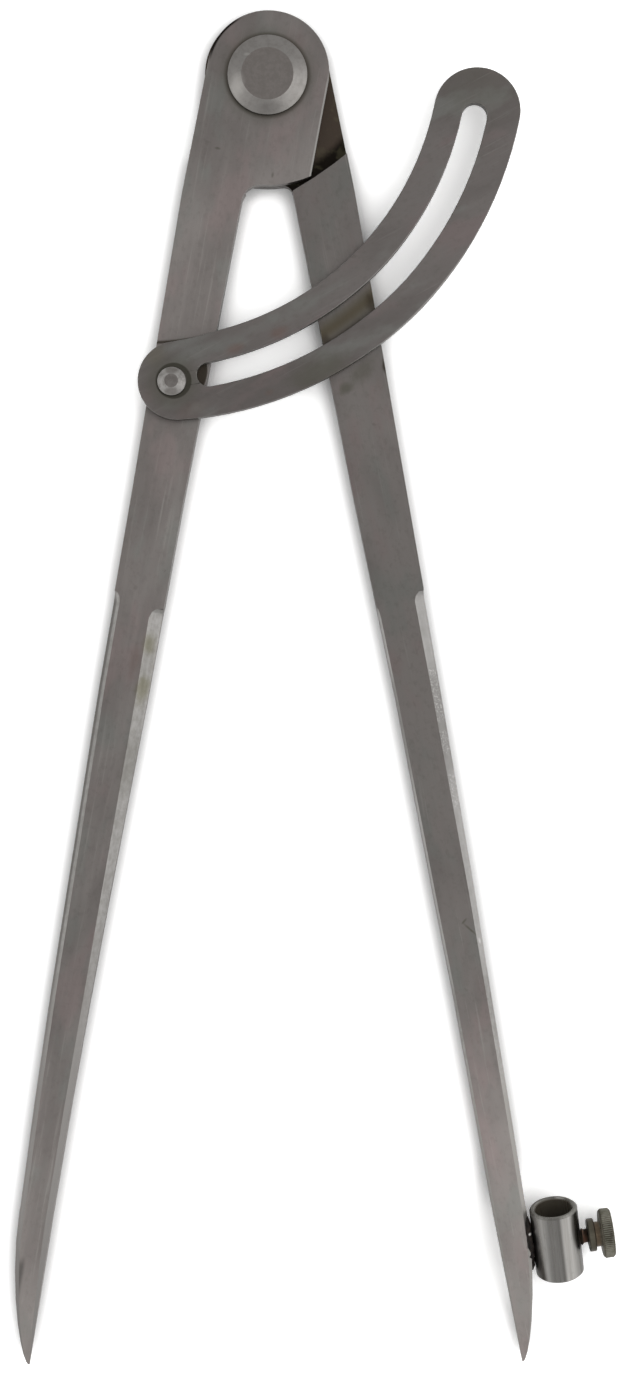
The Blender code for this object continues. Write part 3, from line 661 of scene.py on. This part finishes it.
def tubeFinish():
    look = tubeLook
    finish, tree, shader = newFinish("pencil tube, drawn steel", 1.0)
    local = vectors(tree, "SUBTRACT", ownPlace(tree), screwPlace)
    axis = look["axis"]
    height, across, around = (
        vectors(tree, "DOT_PRODUCT", local, way)
        for way in (axis, screwAxis, axis.cross(screwAxis).normalized())
    )
    turned = addNode(tree, "ShaderNodeCombineXYZ", {0: across, 1: around, 2: height}).outputs[0]
    streaks = grain(tree, turned, (900, 900, 30), 3.0, 0.6)
    speckle = grain(tree, turned, (800, 800, 500), 3.0, 0.7, 4.2)
    colour = blended(tree, stretched(tree, streaks, 0.30, 0.70), look["shade"], look["face"])
    colour = blended(tree, stretched(tree, speckle, 0.45, 0.28, 0.0, 0.3), colour, look["end"])
    place = maths(tree, "DIVIDE", across, look["radius"])
    # painted reflections and shade across the tube
    colour = scaled(tree, colour, stepped(tree, place, look["bands"]))
    endFace = stretched(tree, maths(tree, "ABSOLUTE", facing(tree, axis)), 0.5, 0.9)
    colour = blended(tree, endFace, colour, look["end"])
    # painted shade in the bore, which is also less metallic
    inside = stretched(tree, flatReach(tree, turned), *look["insideFrom"])
    colour = blended(tree, inside, colour, look["inside"])
    metal = maths(tree, "SUBTRACT", 1.0, maths(tree, "MULTIPLY", inside, 0.8))
    tree.links.new(metal, shader.inputs["Metallic"])
    laid(tree, shader, colour, streaks, streaks, look)
    return finish


dress("pencil_socket", tubeFinish(), 0.0)
print("tube dressed")


# The thumbscrew: dark and oiled, with painted brown shade in its grooves and a painted highlight on
# its knurl's crests

screwLook = {
    "face": (0.095, 0.090, 0.068),
    "light": (0.160, 0.152, 0.122),
    "groove": (0.040, 0.032, 0.022),
    "rusty": (0.170, 0.080, 0.054),      # the plain neck behind the thread
    "brown": (0.105, 0.072, 0.045),      # between the collar and the disc
    "collar": (0.058, 0.052, 0.039),
    "crest": (0.200, 0.195, 0.165),
    "rough": (0.35, 0.57),
    "relief": (0.3, 0.06 * mm),
    # mm from the tube's axis: where each starts, is full, is still full, and ends
    "brownSpan": (7.6, 8.3, 9.2, 9.9),
    "collarSpan": (5.8, 6.4, 8.3, 8.6),
    "rustyEnd": (6.9, 6.3),
    "studEnd": (5.8, 5.6),
    # mm from the screw's own axis
    "grooveSpan": (4.9, 5.0, 5.16, 5.22),
    "crestStart": (5.22, 5.33),
}


def screwFinish():
    look = screwLook
    finish, tree, shader = newFinish("thumbscrew, oiled steel", 0.85)
    coords = ownPlace(tree)
    local = vectors(tree, "SUBTRACT", coords, screwPlace)
    out = vectors(tree, "DOT_PRODUCT", local, screwAxis)
    reach = vectors(tree, "LENGTH", vectors(tree, "CROSS_PRODUCT", local, screwAxis))
    clouds = grain(tree, coords, (420, 420, 420), 4.0, 0.65)
    speckle = grain(tree, coords, (1600, 1600, 1600), 2.0, 0.6, 2.9)
    colour = blended(tree, stretched(tree, clouds, 0.35, 0.65), look["face"], look["light"])
    colour = blended(tree, stretched(tree, speckle, 0.45, 0.30, 0.0, 0.6), colour, look["groove"])

    def span(value, name):
        ends = [place * mm for place in look[name]]
        return between(tree, value, *ends) if len(ends) == 4 else stretched(tree, value, *ends)

    # the neck and the collar behind the knurled disc have rusted a little
    cloudy = stretched(tree, clouds, 0.30, 0.50)
    for mask, amount, tone in (
        (span(out, "brownSpan"), 0.8, look["brown"]),
        (span(out, "collarSpan"), 0.8, look["collar"]),
        (both(tree, span(out, "rustyEnd"), cloudy), 0.85, look["rusty"]),
        # painted highlight on the knurl's crests, and painted shade in its grooves
        (both(tree, span(reach, "crestStart"), cloudy), 0.8, look["crest"]),
        (span(reach, "grooveSpan"), 0.5, look["groove"]),
        # painted shade on the stud where it enters the tube
        (span(out, "studEnd"), 0.95, stainAndLightTones["oil"]),
    ):
        colour = blended(tree, maths(tree, "MULTIPLY", mask, amount), colour, tone)
    laid(tree, shader, colour, clouds, speckle, look)
    return finish


screwSteel = screwFinish()
dress("socket_screw_knob", screwSteel, 0.0)

threadLook = {
    "pitch": 0.7 * mm,
    "depth": 0.38 * mm,
    "flank": 1.25,              # over 1, the thread's crests are flat
    "tipDepth": 1.4,            # the stud's very end, in depths of the thread
    "relief": 1.5 * mm,         # radius of the plain neck behind the thread
    "reliefStart": 5.6 * mm,    # from the tube's axis
    "sides": 48,
    "stepsPerTurn": 10,
}


def addPiece(name, shape, finish, body, node):
    # a piece of the scene that stands for one CAD node
    mesh = bpy.data.meshes.new(name)
    shape.to_mesh(mesh)
    shape.free()
    mesh.shade_smooth()
    mesh.materials.append(finish)
    piece = bpy.data.objects.new(name, mesh)
    bpy.context.collection.objects.link(piece)
    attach(piece, body)
    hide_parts(node)


def threadedStud():
    # a right-hand thread cut down from the stud's own size, then a plain neck
    look = threadLook
    reaches, places = [], []
    for corner in nodes["socket_screw"].data.vertices:
        local = corner.co - screwPlace
        places.append(local.dot(screwAxis))
        reaches.append((local - screwAxis * places[-1]).length)
    tip, end, crest = min(places), max(places), max(reaches)
    start = look["reliefStart"]
    step = look["pitch"] / look["stepsPerTurn"]
    count = math.ceil((start - tip) / step)
    rings = [tip + (start - tip) * i / count for i in range(count + 1)]
    rings += [start + look["depth"], end]
    sides = look["sides"]
    shape = bmesh.new()
    rows = []
    for place in rings:
        row = []
        for k in range(sides):
            angle = 2 * math.pi * k / sides
            phase = (place / look["pitch"] + k / sides) % 1.0
            flank = min(1.0, look["flank"] * (1 - abs(2 * phase - 1)))
            radius = crest - look["depth"] * (1 - flank)
            radius = min(radius, crest - look["depth"] * look["tipDepth"] + (place - tip))
            if place > start:
                radius = look["relief"]
            row.append(shape.verts.new((radius * math.cos(angle), radius * math.sin(angle), place)))
        rows.append(row)
    for first, second in zip(rows, rows[1:]):
        for k in range(sides):
            j = (k + 1) % sides
            shape.faces.new((first[k], first[j], second[j], second[k]))
    shape.faces.new(list(reversed(rows[0])))
    shape.faces.new(rows[-1])
    lay = up.rotation_difference(screwAxis).to_matrix().to_4x4()
    bmesh.ops.transform(shape, matrix=Matrix.Translation(screwPlace) @ lay, verts=shape.verts)
    addPiece("threaded_stud", shape, screwSteel, "screw", "socket_screw")


threadedStud()
print("thumbscrew dressed")


# The braze: a lumpy bead, near black for its scale and for painted shadow in the gap, with a few
# bright beads of metal and a painted highlight on it

beadLook = {
    # near black: the braze's scale and painted shadow in the gap
    "dark": (0.004, 0.003, 0.003),
    "scale": (0.020, 0.015, 0.012),
    "beads": (0.20, 0.18, 0.16),
    "bright": (0.62, 0.60, 0.57),
    "rough": (0.6, 0.85),
    "relief": (0.6, 0.3 * mm),
    "brightPlace": Vector((57.2, -252.6)) * mm,
    "brightSize": Vector((0.45, 0.45)) * mm,
    "halfWidth": 0.88 * mm,
    "halfHeight": 2.7 * mm,
    "towardsLeg": 0.52 * mm,
    "length": 1.08,            # of its node's length
    "lump": 0.22,              # share of its size
    "lumpsPerMetre": 620,
    "sides": 40,
    "rings": 44,
}


def brazeFinish():
    look = beadLook
    finish, tree, shader = newFinish("braze, scaled and shaded", 0.0)
    shader.inputs["Specular IOR Level"].default_value = 0.15
    coords = ownPlace(tree)
    lumps = grain(tree, coords, (900, 900, 900), 3.0, 0.6)
    fine = grain(tree, coords, (2600, 2600, 2600), 2.0, 0.6, 1.1)
    colour = blended(tree, stretched(tree, lumps, 0.35, 0.65), look["dark"], look["scale"])
    colour = blended(tree, stretched(tree, fine, 0.72, 0.80), colour, look["beads"])
    # painted highlight: one bright spot in the gap
    bright = spot(tree, look["brightPlace"], look["brightSize"])
    colour = blended(tree, bright, colour, look["bright"])
    laid(tree, shader, colour, lumps, lumps, look)
    return finish


def brazeBead():
    # an oval run of braze with lumps, as long as its node and in its place
    look = beadLook
    low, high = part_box("socket_braze")
    middle = (low + high) / 2
    axis = tubeLook["axis"]
    lift = axis.cross(screwAxis).normalized()
    reach = max((corner.co - middle).dot(axis) for corner in nodes["socket_braze"].data.vertices)
    shape = bmesh.new()
    bmesh.ops.create_uvsphere(shape, u_segments=look["sides"], v_segments=look["rings"], radius=1.0)
    for corner in shape.verts:
        x, y, z = corner.co
        run = middle + axis * z * reach * look["length"] - screwAxis * look["towardsLeg"]
        place = run + screwAxis * x * look["halfWidth"] + lift * y * look["halfHeight"]
        swell = look["lump"] * noise.noise(place * look["lumpsPerMetre"])
        swell += look["lump"] * 0.5 * noise.noise(place * look["lumpsPerMetre"] * 2.3)
        corner.co = place + (place - run) * swell * 2
    addPiece("braze_bead", shape, brazeFinish(), "right", "socket_braze")


brazeBead()
print("braze laid")


# Floor, light and camera

stageLook = {
    "floorColour": (0.90, 0.90, 0.895),
    "floorDim": 0.985,                    # the paper's darker patches
    "floorSeen": (1.46, 1.46, 1.455),     # what the camera sees, over white
    "contact": 4.0 * mm,          # how far the painted contact shade reaches on the paper
    "contactTone": 0.50,
    "floorHalf": 1.2,
    "floorSides": 240,
    "gap": 0.1 * mm,              # under the lowest faces
    "dishCore": 8.5 * mm,         # the floor sinks under the washer
    "dishReach": 12.5 * mm,
    "grooveCore": 10 * mm,        # and along the way of the tube's foot
    "grooveReach": 24 * mm,
    "swing": math.radians(70),
    "worldTop": 0.70,
    "worldSide": 1.0,
}


def floorHeight(x, y, foot):
    # flat just under the legs, with a dish for the washer, and a groove in which
    # the tube's foot swings with the right leg
    look = stageLook
    level = legBack - look["gap"]
    reach = math.hypot(x, y)
    turn = math.atan2(y, x) - math.atan2(foot.y, foot.x)
    across = abs(reach - math.hypot(foot.x, foot.y))
    past = max(0.0, -turn, turn - look["swing"]) * reach
    away = math.hypot(across, past)
    height = level
    for depth, distance, core, edge in (
        (level + look["gap"], reach, look["dishCore"], look["dishReach"]),
        (level - cadBox[0].z + look["gap"], away, look["grooveCore"], look["grooveReach"]),
    ):
        share = min(1.0, max(0.0, (edge - distance) / (edge - core)))
        height = min(height, level - depth * share * share * (3 - 2 * share))
    return height


def floorFinish():
    look = stageLook
    finish, tree, shader = newFinish("pale floor", 0.0)
    shader.inputs["Roughness"].default_value = 0.9
    shader.inputs["Specular IOR Level"].default_value = 0.0
    paper = grain(tree, ownPlace(tree), (30, 30, 30), 3.0, 0.5)
    pale = look["floorColour"]
    dim = tuple(part * look["floorDim"] for part in pale)
    colour = blended(tree, stretched(tree, paper, 0.3, 0.7), dim, pale)
    seen = addNode(tree, "ShaderNodeLightPath").outputs["Is Camera Ray"]
    # painted shade: what the camera sees of the floor darkens near the pieces
    near = addNode(tree, "ShaderNodeAmbientOcclusion", {"Distance": look["contact"]}, samples=12)
    tone = stretched(tree, near.outputs["AO"], 0.45, 1.0, look["contactTone"], 1.0)
    colour = blended(tree, seen, colour, scaled(tree, look["floorSeen"], tone))
    tree.links.new(colour, shader.inputs["Base Color"])
    return finish


def makeFloor():
    look = stageLook
    low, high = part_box("pencil_socket")
    foot = (low + high) / 2
    # rings: close together over the dish and over the groove
    reaches = [i * 1.2 * mm for i in range(1, 16)] + [60 * mm, 140 * mm]
    reaches += [(200 + i * 3) * mm for i in range(42)] + [0.5, look["floorHalf"]]
    sides = look["floorSides"]
    shape = bmesh.new()
    centre = shape.verts.new((0.0, 0.0, floorHeight(0.0, 0.0, foot)))
    rows = []
    for reach in reaches:
        row = []
        for k in range(sides):
            angle = 2 * math.pi * k / sides
            x, y = reach * math.cos(angle), reach * math.sin(angle)
            row.append(shape.verts.new((x, y, floorHeight(x, y, foot))))
        rows.append(row)
    for k in range(sides):
        j = (k + 1) % sides
        shape.faces.new((centre, rows[0][k], rows[0][j]))
        for inner, outer in zip(rows, rows[1:]):
            shape.faces.new((inner[k], outer[k], outer[j], inner[j]))
    mesh = bpy.data.meshes.new("floor")
    shape.to_mesh(mesh)
    shape.free()
    mesh.shade_smooth()
    mesh.materials.append(floorFinish())
    floor = bpy.data.objects.new("floor", mesh)
    bpy.context.collection.objects.link(floor)


def makeWorld():
    look = stageLook
    world = bpy.data.worlds.new("studio")
    bpy.context.scene.world = world
    world.use_nodes = True
    tree = world.node_tree
    background = tree.nodes["Background"]
    height = partsOf(tree, addNode(tree, "ShaderNodeTexCoord").outputs["Generated"])["Z"]
    glow = stretched(tree, height, 0.2, 1.0, look["worldSide"], look["worldTop"])
    colour = addNode(tree, "ShaderNodeCombineColor", {0: glow, 1: glow, 2: glow}).outputs[0]
    tree.links.new(colour, background.inputs["Color"])
    background.inputs["Strength"].default_value = 1.0


lampLook = {
    "aim": Vector((0.0, -0.13, 0.0)),
    # name, place, width and height, watts
    "lamps": (
        ("right lamp", (0.66, -0.10, 0.92), (0.9, 1.2), 5.5),
        ("left lamp", (-0.80, -0.20, 0.80), (0.5, 0.8), 1.6),
        ("near lamp", (0.05, -1.05, 0.95), (1.2, 0.6), 1.0),
    ),
}


def softLamp(name, place, size, power):
    lamp = bpy.data.lights.new(name, "AREA")
    lamp.shape = "RECTANGLE"
    lamp.size, lamp.size_y = size
    lamp.energy = power
    item = bpy.data.objects.new(name, lamp)
    bpy.context.collection.objects.link(item)
    item.location = place
    item.rotation_euler = (lampLook["aim"] - Vector(place)).to_track_quat("-Z", "Y").to_euler()


cameraLook = {
    "place": (10.04 * mm, -133.8 * mm, 607.8 * mm),    # straight above, the head at the top
    "lens": 71.9,
    "sensor": 36.0,                                    # along the picture's long side
    "clipStart": 0.01,
}


def makeCamera():
    look = cameraLook
    data = bpy.data.cameras.new("camera")
    data.sensor_fit = "AUTO"
    data.sensor_width = look["sensor"]
    data.lens = look["lens"]
    data.clip_start = look["clipStart"]
    camera = bpy.data.objects.new("camera", data)
    bpy.context.collection.objects.link(camera)
    camera.location = look["place"]
    bpy.context.scene.camera = camera


makeFloor()
makeWorld()
for lamp in lampLook["lamps"]:
    softLamp(*lamp)
makeCamera()
bpy.context.scene.view_settings.view_transform = "Standard"
print("stage, lamps and camera made")
